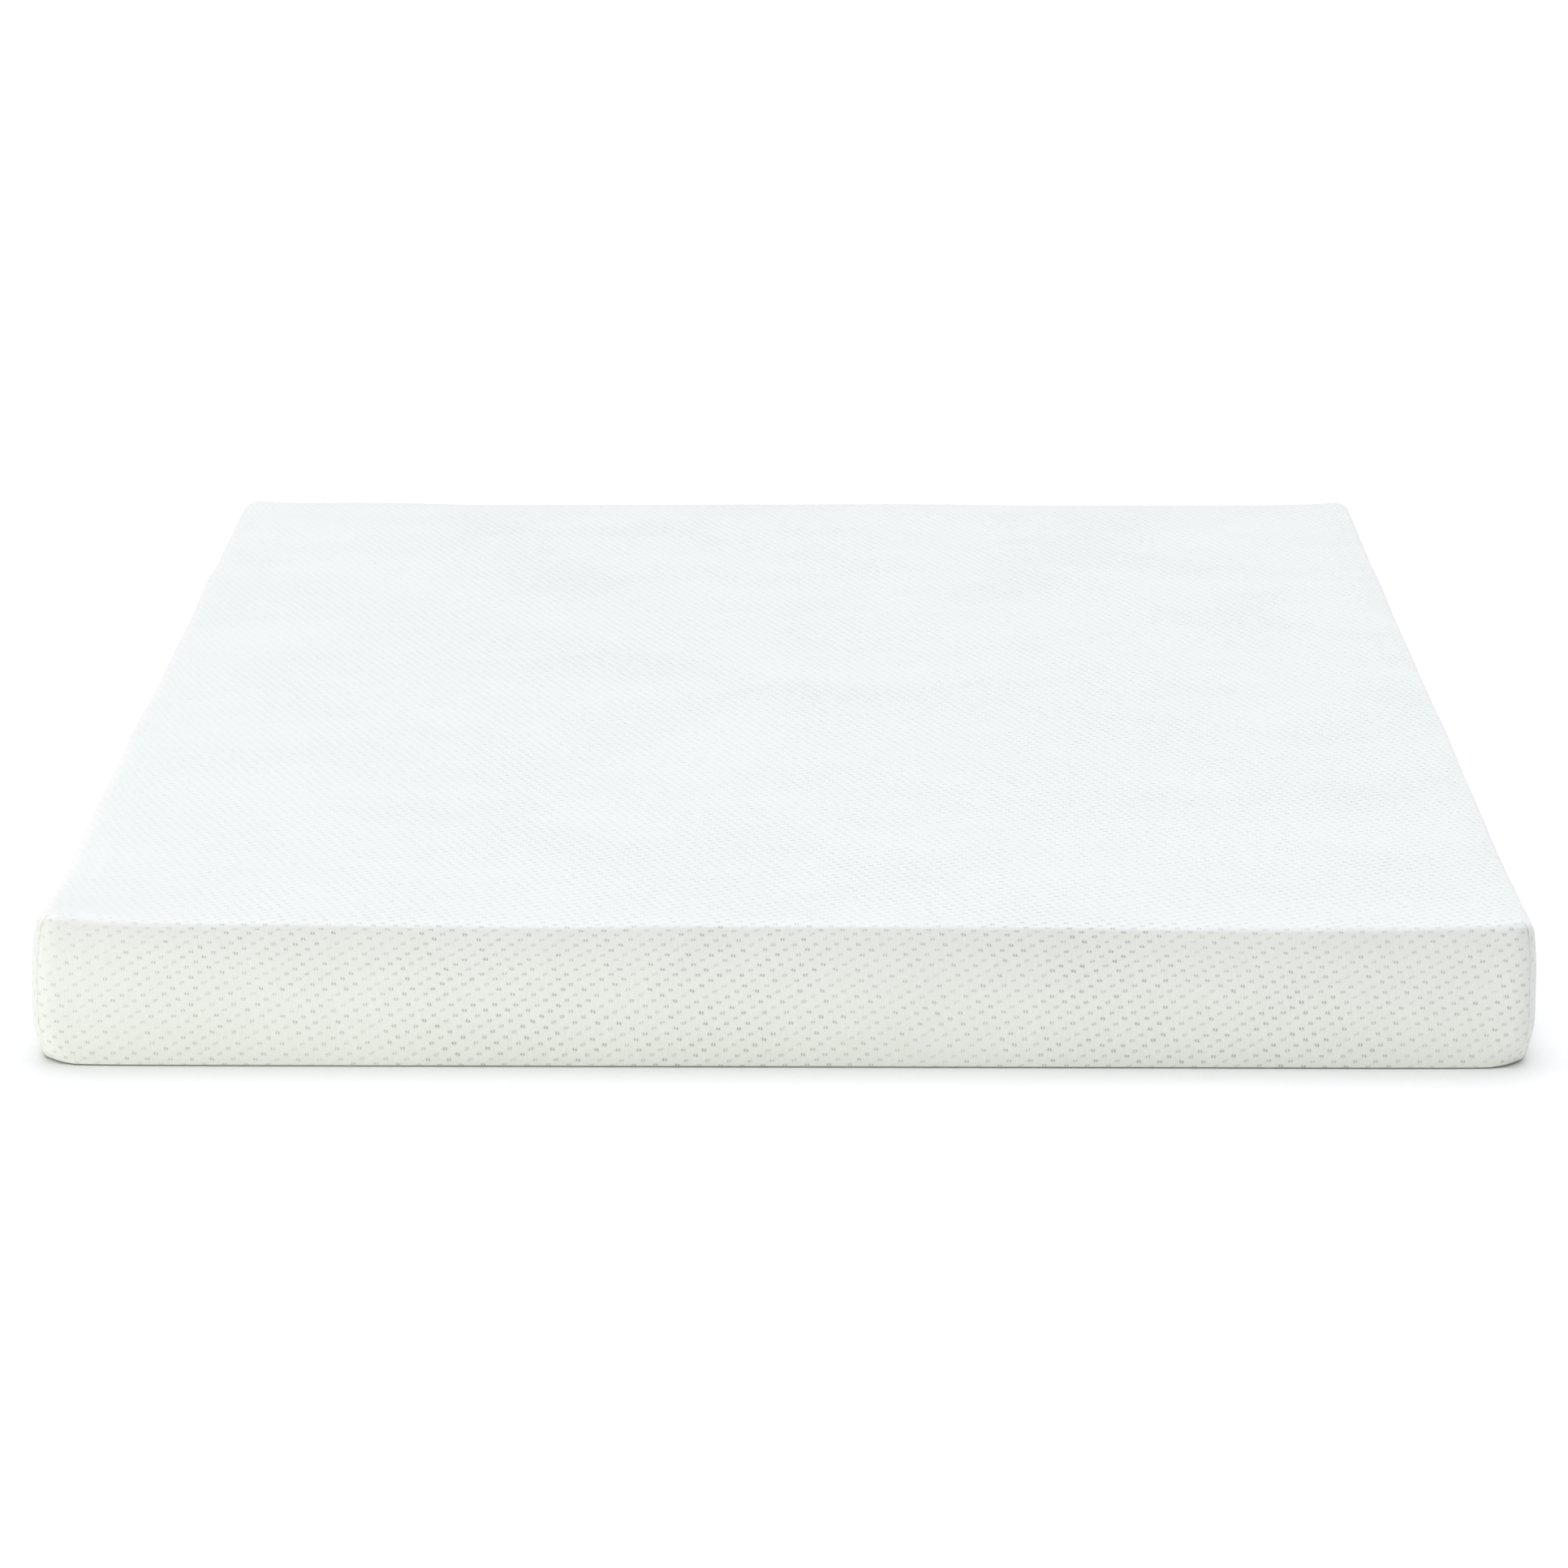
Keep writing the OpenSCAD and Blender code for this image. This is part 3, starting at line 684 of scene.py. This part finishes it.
def sweep(name, path, section, closed=False, ripple=0.0, material=None):
    """A tube of a closed section (out, up) along a level path of points."""
    verts, faces = [], []
    n, m = len(path), len(section)
    for i, p in enumerate(path):
        a = path[i - 1] if i or closed else p
        b = path[(i + 1) % n] if i < n - 1 or closed else p
        along = (Vector(b) - Vector(a)).normalized()
        out = Vector((along.y, -along.x, 0))
        k = 1 + ripple * math.sin(2.1 * i)
        for s, t in section:
            verts.append(Vector(p) + out * s * k + Vector((0, 0, t * k)))
    for i in range(n if closed else n - 1):
        for j in range(m):
            a, b = i * m + j, i * m + (j + 1) % m
            c, d = ((i + 1) % n) * m + j, ((i + 1) % n) * m + (j + 1) % m
            faces.append((a, c, d, b))
    if not closed:
        faces += [tuple(range(m)), tuple(range((n - 1) * m, n * m))[::-1]]
    return mesh_object(name, verts, faces, material=material)


def rounded_section(w, h):
    """A flat section w deep (outwards) and h tall, with eased edges, in order round it."""
    pts, r = [], 0.0004
    for sx, sy in ((1, -1), (1, 1), (-1, 1), (-1, -1)):
        x, y = sx * (w / 2 - r), sy * (h / 2 - r)
        pts += [(x + sx * r, y), (x + sx * r * 0.7, y + sy * r * 0.7), (x, y + sy * r)]
    return sorted(pts, key=lambda p: math.atan2(p[1] / h, p[0] / w))


def stitches(name, runs, radius, material):
    """Separate stitches, each a short full thread from one point to another."""
    verts, faces, sides = [], [], 6
    for p0, p1 in runs:
        p0, p1 = Vector(p0), Vector(p1)
        along = (p1 - p0).normalized()
        side = along.orthogonal().normalized()
        up = along.cross(side)
        base = len(verts)
        verts.append(p0)
        for t, k in ((0.1, 0.62), (0.5, 1.0), (0.9, 0.62)):
            for j in range(sides):
                a = 2 * math.pi * j / sides
                r = radius * k
                verts.append(p0.lerp(p1, t) + side * math.cos(a) * r + up * math.sin(a) * r)
        verts.append(p1)
        for j in range(sides):
            k = (j + 1) % sides
            faces.append((base, base + 1 + k, base + 1 + j))
            for ring in range(2):
                o = base + 1 + ring * sides
                faces.append((o + j, o + k, o + sides + k, o + sides + j))
            o = base + 1 + 2 * sides
            faces.append((o + j, o + k, o + sides))
    return mesh_object(name, verts, faces, material=material)


def settle(ob, core, pinned, hold):
    """Lets the sewn fabric settle over the core under its own weight, with a little air
    in it. Each point stays within limit of where it was cut, times hold there."""
    limit, air = 0.004, 0.35
    start = np.array([v.co[:] for v in ob.data.vertices])
    group = ob.vertex_groups.new(name="sewn")
    group.add([int(i) for i in pinned], 1.0, "REPLACE")
    core.modifiers.new("collision", "COLLISION")
    core.collision.thickness_outer = 0.001
    core.collision.cloth_friction = 8
    m = ob.modifiers.new("cloth", "CLOTH")
    s = m.settings
    s.quality = 5
    s.mass = 0.25
    s.tension_stiffness = s.compression_stiffness = 25
    s.shear_stiffness = 8
    s.bending_stiffness = 1.2
    s.vertex_group_mass = "sewn"
    s.use_pressure = True
    s.uniform_pressure_force = air
    s.shrink_min = -0.0015
    m.collision_settings.distance_min = 0.001
    m.point_cache.frame_end = SETTLE_FRAMES
    for f in range(1, SETTLE_FRAMES + 1):
        scene.frame_set(f)
    dg = bpy.context.evaluated_depsgraph_get()
    moved = np.array([v.co[:] for v in ob.evaluated_get(dg).data.vertices])
    ob.modifiers.remove(m)
    ob.vertex_groups.remove(group)
    scene.frame_set(1)
    step = moved - start
    far = np.linalg.norm(step, axis=1)
    step *= (np.minimum(far, limit) / np.maximum(far, 1e-9) * hold(start))[:, None]
    ob.data.vertices.foreach_set("co", (start + step).ravel())
    bpy.data.objects.remove(core, do_unlink=True)


# ---------------------------------------------------------------- camera and stage
# the photograph's viewpoint: in front of one short end, 15 degrees down on it
cam_data = bpy.data.cameras.new("camera")
cam_data.sensor_width = 36
cam_data.lens = 123.3
cam = bpy.data.objects.new("camera", cam_data)
scene.collection.objects.link(cam)
cam.location = (0.041, -6.186, 1.690)
cam.rotation_euler = (math.radians(90 - 15.08), 0, math.radians(0.44))
cam_data.clip_end = 200
scene.camera = cam

floor_mat = Graph("studio_floor", Specular_IOR_Level=0.1)
grain = floor_mat.noise(floor_mat.place(), 60, 3.0)
floor_mat.finish(
    floor_mat.mix(grain, (0.96, 0.96, 0.96), (0.975, 0.975, 0.975)),
    0.9,
    floor_mat.bump(grain, 0.0002),
)
FAR, FLOOR_Z = 60, -0.0004  # the floor lies a hair below the underside
ends = ((-FAR, -FAR), (FAR, -FAR), (FAR, FAR), (-FAR, FAR))
floor = mesh_object(
    "studio_floor", [(x, y, FLOOR_Z) for x, y in ends], [(0, 1, 2, 3)], material=floor_mat.mat
)

world = bpy.data.worlds.new("studio")
scene.world = world
world.use_nodes = True
tree = world.node_tree
room = tree.nodes["Background"]
room.inputs["Color"].default_value = (0.985, 1, 0.88, 1)
room.inputs["Strength"].default_value = 0.33
# the studio beyond the floor is plain white where it is seen
seen = tree.nodes.new("ShaderNodeBackground")
seen.inputs["Color"].default_value = (1, 1, 1, 1)
rays, mixer = tree.nodes.new("ShaderNodeLightPath"), tree.nodes.new("ShaderNodeMixShader")
tree.links.new(rays.outputs["Is Camera Ray"], mixer.inputs[0])
tree.links.new(room.outputs[0], mixer.inputs[1])
tree.links.new(seen.outputs[0], mixer.inputs[2])
tree.links.new(mixer.outputs[0], tree.nodes["World Output"].inputs[0])


def area_light(name, place, aim, size, power, colour):
    """A soft panel that lights the scene and isn't seen itself."""
    data = bpy.data.lights.new(name, "AREA")
    data.shape = "RECTANGLE"
    data.size, data.size_y = size
    data.energy = power
    data.color = colour
    ob = bpy.data.objects.new(name, data)
    scene.collection.objects.link(ob)
    ob.location = place
    ob.rotation_euler = (Vector(aim) - Vector(place)).to_track_quat("-Z", "Y").to_euler()
    ob.visible_camera = False


sun = bpy.data.lights.new("overhead_panel", "SUN")
sun.energy = 2.7
sun.angle = math.radians(70)
sun.color = (0.915, 0.92, 1.0)
panel_light = bpy.data.objects.new("overhead_panel", sun)
scene.collection.objects.link(panel_light)
panel_light.rotation_euler = (math.radians(-13), 0, 0)
# a fill from the left, and low light along the front as if off the floor
area_light("left_fill", (-3.6, -3.6, 0.35), (-0.75, -1.0, 0.05), (1.2, 0.6), 38, (1, 1, 0.86))
area_light("front_strip", (0, -1.18, 0.009), (0, -1.0, 0.009), (2.6, 0.014), 0.25, (1, 1, 0.75))
scene.view_settings.view_transform = "Standard"
scene.view_settings.look = "None"

# ---------------------------------------------------------------- materials in use
knit = dimpled_knit("cover_knit", (0.905, 0.92, 0.91), (0.55, 0.58, 0.55))
sleeve_knit = jersey("barrier_knit", (0.80, 0.79, 0.75), (0.58, 0.57, 0.53), 0.55, 0.0004)
under_cloth = jersey("underside_fabric", (0.74, 0.75, 0.74), (0.50, 0.51, 0.50), 0.45, 0.0004)
memory_foam = foam("memory_foam", (0.80, 0.88, 0.86), (0.62, 0.72, 0.70), 0.7, 0.0003)
comfort_foam = foam("comfort_foam", (0.86, 0.85, 0.80), (0.70, 0.68, 0.60), 1.0, 0.0004)
base_foam = foam("base_foam", (0.82, 0.82, 0.80), (0.62, 0.62, 0.60), 1.4, 0.0005)
thread_white = thread("thread", (0.88, 0.9, 0.88), (0.72, 0.74, 0.72))
tape_cloth = woven("zip_tape", (0.86, 0.88, 0.86), (0.64, 0.66, 0.64), 0.5, 0.00015, twill=1.0)
coil_nylon = nylon("zip_nylon", (0.82, 0.83, 0.82), (0.68, 0.69, 0.68))
zip_metal = metal("zip_metal", (0.72, 0.72, 0.71), (0.55, 0.55, 0.54))
law_cloth = woven("law_label_fabric", (0.88, 0.9, 0.89), (0.78, 0.8, 0.79), 0.35, 0.00006)
care_satin = woven(
    "care_label_satin", (0.85, 0.875, 0.865), (0.73, 0.755, 0.745), 0.2, 0.00003, 0.1, 2.0, 0.42
)
adhesive = glue("adhesive", (0.86, 0.82, 0.68), (0.74, 0.68, 0.50))

# ---------------------------------------------------------------- foam core and sleeve


def block(lo, hi, r_low, r_high, inset=CORE_IN, recess=None):
    """A closed block between two levels, with the zip's recess cut back to y = recess."""
    steps = max(1, round((hi - lo - r_low - r_high) / 0.016))
    low = arc_rings(inset, lo, r_low, (90, 60, 30, 0), False)
    high = arc_rings(inset, hi, r_high, (0, 30, 60, 90), True)
    a, b = lo + r_low, hi - r_high
    levels = [a + (b - a) * i / steps for i in range(1, steps)]
    if recess:
        edges = [RECESS_LOW - 0.0005, RECESS_LOW, RECESS_HIGH, RECESS_HIGH + 0.0005]
        clear = [z for z in levels if min(abs(z - e) for e in edges) > 0.002]
        levels = sorted(clear + edges)
    pts, faces, coords = shell(low + [(inset, z) for z in levels] + high, bottom=True)
    if recess:
        cut = (pts[:, 1] > recess) & (abs(pts[:, 0]) < HALF_W - PLAN_R + 0.0005)
        cut &= (pts[:, 2] > RECESS_LOW - 1e-5) & (pts[:, 2] < RECESS_HIGH + 1e-5)
        pts[cut, 1] = recess
    return pts, faces, coords


def foam_block(node, mat, r_low, r_high, recess=None):
    """One layer of the core. Only its outer edges are well rounded."""
    lo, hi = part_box(node)
    verts, faces, _ = block(lo.z, hi.z, r_low, r_high, recess=recess)
    ob = mesh_object(node.replace("_layer", "_block"), verts, faces, material=mat)
    piece(ob, node.replace("_layer", ""), node)


def barrier_sleeve():
    """The fire-barrier knit: an outer and an inner face, closed all round the core."""
    inside = SLEEVE_IN + SLEEVE_T
    outer = block(SLEEVE_IN, HEIGHT - SLEEVE_IN, 0.0095, 0.0066, SLEEVE_IN, RECESS_Y)
    inner = block(inside, HEIGHT - inside, 0.0085, 0.0062, inside, RECESS_Y - SLEEVE_T)
    verts, faces, coords = outer
    for i, face in enumerate(inner[1]):
        faces.append(tuple(k + len(verts) for k in reversed(face)))
        coords += inner[2][4 * i : 4 * i + 4][::-1]
    ob = mesh_object("barrier_sleeve", np.vstack([verts, inner[0]]), faces, coords, sleeve_knit)
    keep_cut(ob)
    piece(ob, "barrier_knit", "barrier_sock")


def sleeve_seam(node, side):
    """The overlocked ridge across one end of the sleeve, along the formed wall."""
    lo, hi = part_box(node)
    n = int((hi.x - lo.x) / 0.003)
    xs = [lo.x + (hi.x - lo.x) * i / n for i in range(n + 1)]
    y, z = (lo.y + hi.y) / 2, (lo.z + hi.z) / 2
    inset = [HALF_L - abs(q[1]) for q in form([(x, side * HALF_L, z) for x in xs])]
    path = [(x, y - side * d, z) for x, d in zip(xs, inset)]
    section = rounded_section(hi.y - lo.y, hi.z - lo.z)
    ob = sweep(node.replace("sock", "sleeve"), path, section, ripple=0.12, material=thread_white)
    piece(ob, "thread", node)


foam_block("memory_foam_layer", memory_foam, 0.0008, 0.006)
foam_block("comfort_foam_layer", comfort_foam, 0.0008, 0.0008)
foam_block("base_foam_layer", base_foam, 0.009, 0.0008, RECESS_Y - 0.0015)
paint(adhesive, "adhesive_upper", "adhesive_lower")
barrier_sleeve()
sleeve_seam("sock_seam_front", -1)
sleeve_seam("sock_seam_rear", 1)

# ---------------------------------------------------------------- cover
wall_z = [0.012, 0.019, SLOT_LOW - EDGE, SLOT_LOW, ZIP_Z, SLOT_TOP, SLOT_TOP + EDGE]
wall_z += [0.052, 0.064, 0.077, 0.09, 0.103, 0.115, 0.126, 0.135]
cap_hem, panel_hem = (0.0038, 0.0030), (0.0040, 0.0024)  # sewn together, (inset, height)
low_rings = [cap_hem] + arc_rings(0, 0, LOW_R, (50, 34, 17, 0), False)
top_rings = arc_rings(0, HEIGHT, TOP_R, (0, 22.5, 45, 67.5, 90), True)
cap_rings = low_rings + [(0, z) for z in wall_z] + top_rings
cap_levels = [z for _, z in cap_rings]
cap_pts, cap_faces, cap_coords = shell(cap_rings, seam=SEAM_IN)


def below_on_rear(i, level):
    """Whether face i is a wall face over the zip's length, below that level."""
    ring, c = divmod(i, N_COL)
    _, _, side, s = COLUMNS[c]
    over_zip = side == 2 and -SLOT_X - 1e-6 <= s < SLOT_X - 1e-6
    return over_zip and ring < cap_levels.index(level)


def cut_from_cap(name, keep):
    return mesh_object(name, *subset(cap_pts, cap_faces, cap_coords, keep), knit)


def settle_cap(ob):
    """The cover settles over the core. Its seams, hem and zip end are held, and its two
    end walls move a tenth as far as the rest."""
    verts, faces, _ = block(0.004, HEIGHT - 0.0027, 0.009, 0.007, 0.0027)
    core = mesh_object("core", verts, faces)
    co = np.array([v.co[:] for v in ob.data.vertices])
    lines = [cap_pts[c :: N_COL][: len(cap_rings)] for c in CORNERS]
    seams = {tuple(q) for q in np.round(np.vstack(lines), 5)}
    sewn = np.array([tuple(q) in seams for q in np.round(co, 5)])
    sewn |= (co[:, 2] < 0.007) | ((co[:, 1] > 0.9) & (co[:, 2] < SLOT_TOP + 0.002))

    def hold(p):
        end_wall = smooth((abs(p[:, 1]) - 0.93) / 0.07) * smooth((0.150 - p[:, 2]) / 0.01)
        return 1 - 0.9 * end_wall

    settle(ob, core, np.flatnonzero(sewn), hold)


def slot_edge(p):
    return p.y > 0.9 and 0.002 < p.z < SLOT_TOP + 0.001 and abs(p.x) < SLOT_X + 0.001


cap = cut_from_cap("cover_cap_fabric", lambda i: not below_on_rear(i, SLOT_TOP))
strip = cut_from_cap("cover_rear_strip_fabric", lambda i: below_on_rear(i, SLOT_LOW))
settle_cap(cap)
for ob, node in ((cap, "cover_cap"), (strip, "cover_rear_strip")):
    turn_in(ob, slot_edge, [(0, -0.0024, 0), (0, -0.0038, 0)])
    refine(ob, FABRIC_T)
    piece(ob, "cover_knit", node)

panel_rings = arc_rings(0, 0, LOW_R, (90, 72, 54), False) + [panel_hem]
panel = mesh_object(
    "cover_underside_fabric", *shell(panel_rings, top=False, bottom=True), under_cloth
)
refine(panel, 0.0012)
piece(panel, "underside_fabric", "cover_bottom_panel")


def bottom_seam():
    """The overlocked seam allowance, a closed ridge along the formed outline inside."""
    lo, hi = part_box("bottom_seam")
    w, z = 0.0012, (lo.z + hi.z) / 2
    mid_x, mid_y = HALF_W - PLAN_R, HALF_L - PLAN_R  # centre of an upright corner
    corners, path = [], []
    for degrees in range(0, 360, 3):
        x, y = math.cos(math.radians(degrees)), math.sin(math.radians(degrees))
        px = math.copysign(mid_x, x) + x * (PLAN_R - HALF_W + hi.x - w)
        py = math.copysign(mid_y, y) + y * (PLAN_R - HALF_L + hi.y - w)
        corners.append((px, py))
    for a, b in zip(corners, corners[1:] + corners[:1]):
        n = max(1, round(math.dist(a, b) / 0.004))
        path += [(*(Vector(a).lerp(Vector(b), i / n)), z) for i in range(n)]
    path = [tuple(q) for q in form(path)]
    section = rounded_section(2 * w, hi.z - lo.z)
    ob = sweep("bottom_seam_overlock", path, section, True, 0.07, thread_white)
    piece(ob, "thread", "bottom_seam")


bottom_seam()

# ---------------------------------------------------------------- corner seams
cap_tree = bvh_of(cap)
strip_tree = bvh_of(strip)


def on_rear(x, z, tree=cap_tree):
    """The point of the rear wall's face at x and z."""
    return tree.ray_cast(Vector((x, HALF_L + 0.03, z)), Vector((0, -1, 0)))[0]


def corner_stitches(node, c):
    """Stitches down the groove of one sewn corner, column c of the wall."""
    lo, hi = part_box(node)
    centre, n, _, _ = COLUMNS[c]
    out = Vector((n.x, n.y, 0))
    runs, pitch, length = [], 0.0042, 0.003
    for z in np.arange(lo.z - 0.012, hi.z + 0.004, pitch):
        line = form([(*(centre + n * PLAN_R), h) for h in (z, z + length)])
        hits = [cap_tree.ray_cast(Vector(q) + out * 0.03, -out)[0] for q in line]
        runs.append([q + out * 0.00005 for q in hits])
    piece(stitches(node + "_stitches", runs, 0.00045, thread_white), "thread", node)


for name, c in zip(("front_left", "front_right", "rear_right", "rear_left"), CORNERS):
    corner_stitches("corner_seam_" + name, c)

# ---------------------------------------------------------------- zip


def tape(node):
    """A woven tape, ribbed across its face."""
    lo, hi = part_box(node)
    y, z, rings = (lo.y + hi.y) / 2, (lo.z + hi.z) / 2, 240
    path = [(lo.x + (hi.x - lo.x) * i / rings, y, z) for i in range(rings + 1)]
    half_t, h = (hi.y - lo.y) / 2, hi.z - lo.z
    levels = [h * (j / 10 - 0.5) for j in range(11)]
    section = [(-half_t, level) for level in reversed(levels)]
    section += [(half_t * (1.35 if j % 2 else 1), level) for j, level in enumerate(levels)]
    ob = sweep(node + "_cloth", path, section, material=tape_cloth)
    piece(ob, "zip_tape", node)


def coil(node, side):
    """A nylon coil: a flattened helix of monofilament, its turns between its fellow's."""
    lo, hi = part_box(node)
    pitch, wire, per_turn, half_gap = 0.0014, 0.0003, 8, 0.00058
    step = 2 * math.pi / per_turn
    near = ZIP_Z + side * half_gap
    far = hi.z if side > 0 else lo.z
    y, z = (lo.y + hi.y) / 2, (near + far) / 2
    half_h, half_d = abs(far - near) / 2 - wire, (hi.y - lo.y) / 2 - wire
    verts, faces = [], []
    for i in range(int((hi.x - lo.x) / pitch) * per_turn + 1):
        a = step * i - side * math.pi / 2
        c, s = math.cos(a), math.sin(a)
        x = lo.x + pitch * (i / per_turn + (0.25 if side < 0 else 0))
        at = Vector((x, y + half_d * c, z + side * half_h * s))
        along = Vector((pitch / per_turn, -half_d * s * step, side * half_h * c * step)).normalized()
        out = Vector((0, c * half_h, side * s * half_d)).normalized()
        across = along.cross(out).normalized()
        verts += [at + out * wire, at + across * wire, at - out * wire, at - across * wire]
        if i:
            k = 4 * (i - 1)
            faces += [(k + j, k + (j + 1) % 4, k + 4 + (j + 1) % 4, k + 4 + j) for j in range(4)]
    piece(mesh_object(node + "_loops", verts, faces, material=coil_nylon), "zip_nylon", node)


def zip_stitches(node, tree):
    """A line of running stitches through the fabric and the tape behind it."""
    lo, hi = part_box(node)
    z, pitch, length = (lo.z + hi.z) / 2, 0.0038, 0.0029
    runs = []
    for i in range(int((hi.x - lo.x) / pitch)):
        x = lo.x + pitch * i
        pts = [on_rear(q, z, tree) for q in (x, x + length)]
        runs.append([q + Vector((0, 0.00012, 0)) for q in pts])
    ob = stitches(node.replace("stitching", "stitches"), runs, 0.00042, thread_white)
    piece(ob, "thread", node)


def bartacks():
    """Dense bars of thread across both tapes, one at each end of the zip."""
    lo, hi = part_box("zip_bartacks")
    y, pitch, half, inset = (lo.y + hi.y) / 2, 0.00062, 0.0012, 0.00125
    runs = []
    for x in (lo.x + inset, hi.x - inset):
        for i in range(int((hi.z - lo.z) / pitch) + 1):
            z = lo.z + pitch * i
            runs.append([(x - half, y, z), (x + half, y, z + 0.0003)])
    piece(stitches("zip_bartack_stitches", runs, 0.00036, thread_white), "thread", "zip_bartacks")


tape("zip_tape_upper")
tape("zip_tape_lower")
coil("zip_coil_upper", 1)
coil("zip_coil_lower", -1)
zip_stitches("zip_stitching_upper", cap_tree)
zip_stitches("zip_stitching_lower", strip_tree)
bartacks()
paint(zip_metal, "zip_stop_left", "zip_stop_right", "zip_slider", "zip_pull")

# ---------------------------------------------------------------- labels


def label_cloth(name, mat, curl):
    """The hanging cloth: hemmed, a little wavy, and curling away from the wall."""
    lo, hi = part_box(name)
    w, h = hi.x - lo.x, hi.z - lo.z
    nx, nz, fold = 26, 20, 0.0004
    front, back, faces = [], [], []
    phase = lo.x * 40
    for j in range(nz + 1):
        for i in range(nx + 1):
            u, v = i / nx, j / nz
            wave = curl * v * v + 0.0005 * v * math.sin(5.5 * u + phase + 1.5 * v)
            wave += 0.00035 * v * abs(2 * u - 1) ** 6
            p = Vector((lo.x + w * u, (lo.y + hi.y) / 2 + wave, hi.z - fold - (h - fold) * v))
            hem = min(u * w, (1 - u) * w, (1 - v) * h) < 0.004
            half_t = LABEL_T / 2 * min(1, 0.25 + 8 * v)  # pressed thin at the fold
            front.append(p + Vector((0, half_t * (1.7 if hem else 1), 0)))
            back.append(p - Vector((0, half_t, 0)))
    k = len(front)
    for j in range(nz):
        for i in range(nx):
            a = j * (nx + 1) + i
            b, c, d = a + 1, a + nx + 2, a + nx + 1
            faces += [(a, b, c, d), (k + d, k + c, k + b, k + a)]
    rim = list(range(nx + 1)) + [(j + 1) * (nx + 1) + nx for j in range(nz)]
    rim += [nz * (nx + 1) + i for i in range(nx - 1, -1, -1)]
    rim += [j * (nx + 1) for j in range(nz - 1, 0, -1)]
    faces += [(b, a, k + a, k + b) for a, b in zip(rim, rim[1:] + rim[:1])]
    return mesh_object(name + "_cloth", front + back, faces, material=mat)


def label_margin(name, mat, top):
    """The sewn margin, from the fold up to top, flat on the wall's face."""
    lo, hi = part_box(name)
    n, heights = 30, (0.0, 0.15, 0.4, 0.7, 1.0)
    pts, quads = [], []
    for v in heights:
        for i in range(n + 1):
            x, z = lo.x + (hi.x - lo.x) * i / n, hi.z + (top - hi.z) * v
            wall = on_rear(x, z).y + 0.0003
            pts.append((x, wall + ((lo.y + hi.y) / 2 - wall) * (1 - smooth(v * 2.2)), z))
    for j in range(len(heights) - 1):
        for i in range(n):
            a, b = j * (n + 1) + i, (j + 1) * (n + 1) + i
            quads.append((a, b, b + 1, a + 1))
    ob = mesh_object(name + "_margin", pts, quads, material=mat)
    m = ob.modifiers.new("thickness", "SOLIDIFY")
    m.thickness = LABEL_T
    m.offset = 0
    apply_modifiers(ob)
    return ob


def label_stitches(name, margin):
    """Zigzag stitches through the margin."""
    lo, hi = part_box(name + "_stitching")
    tree, run, low, high = bvh_of(margin), 0.0014, lo.z + 0.0009, hi.z
    runs, x, rising = [], lo.x + 0.0015, True
    while x + run < hi.x:
        ends = ((x, low), (x + run, high)) if rising else ((x, high), (x + run, low))
        runs.append([on_rear(a, b, tree) + Vector((0, 0.0001, 0)) for a, b in ends])
        x, rising = x + run, not rising
    ob = stitches(name + "_stitches", runs, 0.0003, thread_white)
    piece(ob, "thread", name + "_stitching")


for name, mat, slot, curl in (
    ("law_label", law_cloth, "law_label_fabric", 0.0016),
    ("care_label", care_satin, "care_label_satin", 0.0024),
):
    label = piece(label_cloth(name, mat, curl), slot, name, body=name + "_body")
    margin = piece(label_margin(name, mat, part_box(name + "_stitching")[1].z + 0.0016), slot)
    label_stitches(name, margin)
